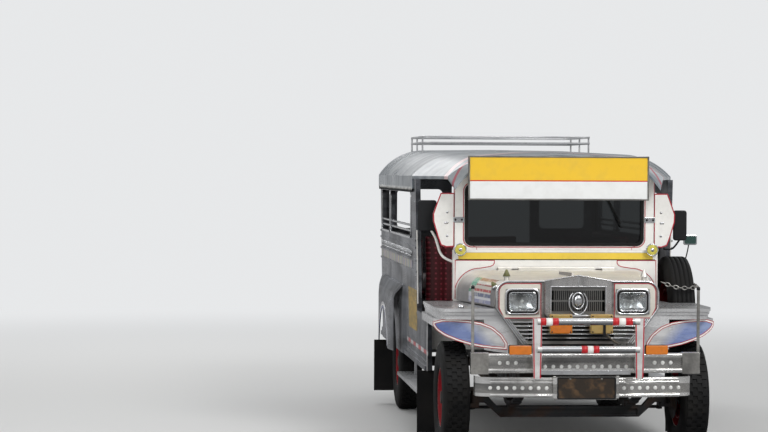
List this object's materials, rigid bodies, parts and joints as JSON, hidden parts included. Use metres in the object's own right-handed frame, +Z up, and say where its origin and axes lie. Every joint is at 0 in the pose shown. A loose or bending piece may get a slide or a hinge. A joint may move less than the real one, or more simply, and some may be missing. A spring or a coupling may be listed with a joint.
{
  "type": "jeepney",
  "caption": "Jeepney with an open-sided passenger body, stainless nose and bumpers, push bar, sign board, roof rack and an upright spare wheel",
  "frame": {"origin": "ground point below the centre of the outer box", "axes": "+X to the vehicle left, +Y to the rear, +Z up"},
  "size_m": [2.12, 5.4799, 2.223],
  "materials": {
    "black_rubber": "matte",
    "red_rim": "gloss",
    "frame_black": "satin",
    "engine_iron": "matte",
    "exhaust_steel": "satin",
    "tank_paint": "satin",
    "stainless": "gloss",
    "dark_slats": "satin",
    "white_paint": "gloss",
    "roof_paint": "satin",
    "amber_lens": "gloss",
    "clear_lens": "gloss",
    "window_glass": "gloss",
    "dark_plastic": "matte",
    "maroon_cover": "matte",
    "floor_plate": "matte",
    "flap_rubber": "matte"
  },
  "bodies": {
    "body": {"bench_seats": "maroon_cover", "chassis_frame": "frame_black", "cowl": "white_paint", "engine": "engine_iron", "exhaust": "exhaust_steel", "fenders": "stainless", "floor": "floor_plate", "fog_lamps": "amber_lens", "front_axle": "frame_black", "front_seats": "maroon_cover", "fuel_tank": "tank_paint", "grille_shell": "stainless", "grille_slats": "dark_slats", "headlamps": "clear_lens", "leaf_springs": "frame_black", "lower_bumper": "stainless", "mirrors": "dark_plastic", "mudflaps": "flap_rubber", "nose_panel": "stainless", "propeller_shaft": "frame_black", "push_bar": "white_paint", "radiator": "tank_paint", "rear_axle": "frame_black", "rear_wall": "stainless", "rim_spare": "red_rim", "roof": "roof_paint", "roof_rack": "stainless", "seat_bases": "floor_plate", "side_walls": "stainless", "sign_board": "white_paint", "signal_lamps": "amber_lens", "steps": "stainless", "tyre_spare": "black_rubber", "upper_bumper": "stainless", "windshield_frame": "white_paint", "windshield_glass": "window_glass"},
    "knuckle_left": {"knuckle_left": "frame_black"},
    "knuckle_right": {"knuckle_right": "frame_black"},
    "tie_rod": {"tie_rod": "frame_black"},
    "hood": {"hood": "stainless"},
    "steering_wheel": {"steering_wheel": "dark_plastic"},
    "wheel_front_left": {"tyre_front_left": "black_rubber", "rim_front_left": "red_rim"},
    "wheel_front_right": {"tyre_front_right": "black_rubber", "rim_front_right": "red_rim"},
    "wheel_rear_left": {"tyre_rear_left": "black_rubber", "rim_rear_left": "red_rim"},
    "wheel_rear_right": {"tyre_rear_right": "black_rubber", "rim_rear_right": "red_rim"}
  },
  "joints": [
    {"name": "steer_left", "type": "hinge", "parent": "body", "child": "knuckle_left", "pos_m": [0.655, -1.925, 0.385], "axis": [0, 0, 1], "range_deg": [-32, 32]},
    {"name": "steer_right", "type": "hinge", "parent": "body", "child": "knuckle_right", "pos_m": [-0.655, -1.925, 0.385], "axis": [0, 0, 1], "range_deg": [-32, 32]},
    {"name": "tie_rod_pivot", "type": "hinge", "parent": "knuckle_left", "child": "tie_rod", "pos_m": [0.655, -1.775, 0.3], "axis": [0, 0, 1], "range_deg": [-32, 32]},
    {"name": "steering_wheel_turn", "type": "hinge", "parent": "body", "child": "steering_wheel", "pos_m": [0.38, -0.93549, 1.27653], "axis": [0, 0.848, 0.5299], "range_deg": [-512, 512]},
    {"name": "roll_front_left", "type": "hinge", "parent": "knuckle_left", "child": "wheel_front_left", "pos_m": [0.815, -1.925, 0.385], "axis": [1, 0, 0], "continuous": true},
    {"name": "roll_front_right", "type": "hinge", "parent": "knuckle_right", "child": "wheel_front_right", "pos_m": [-0.815, -1.925, 0.385], "axis": [1, 0, 0], "continuous": true},
    {"name": "roll_rear_left", "type": "hinge", "parent": "body", "child": "wheel_rear_left", "pos_m": [0.83, 1.275, 0.385], "axis": [1, 0, 0], "continuous": true},
    {"name": "roll_rear_right", "type": "hinge", "parent": "body", "child": "wheel_rear_right", "pos_m": [-0.83, 1.275, 0.385], "axis": [1, 0, 0], "continuous": true},
    {"name": "hood_hinge", "type": "hinge", "parent": "body", "child": "hood", "pos_m": [0, -1.286, 1.246], "axis": [-1, 0, 0], "range_deg": [0, 50]}
  ],
  "couplings": [
    {"joint": "steer_right", "follows": "steer_left", "ratio": 1},
    {"joint": "tie_rod_pivot", "follows": "steer_left", "ratio": -1},
    {"joint": "steering_wheel_turn", "follows": "steer_left", "ratio": 16}
  ]
}
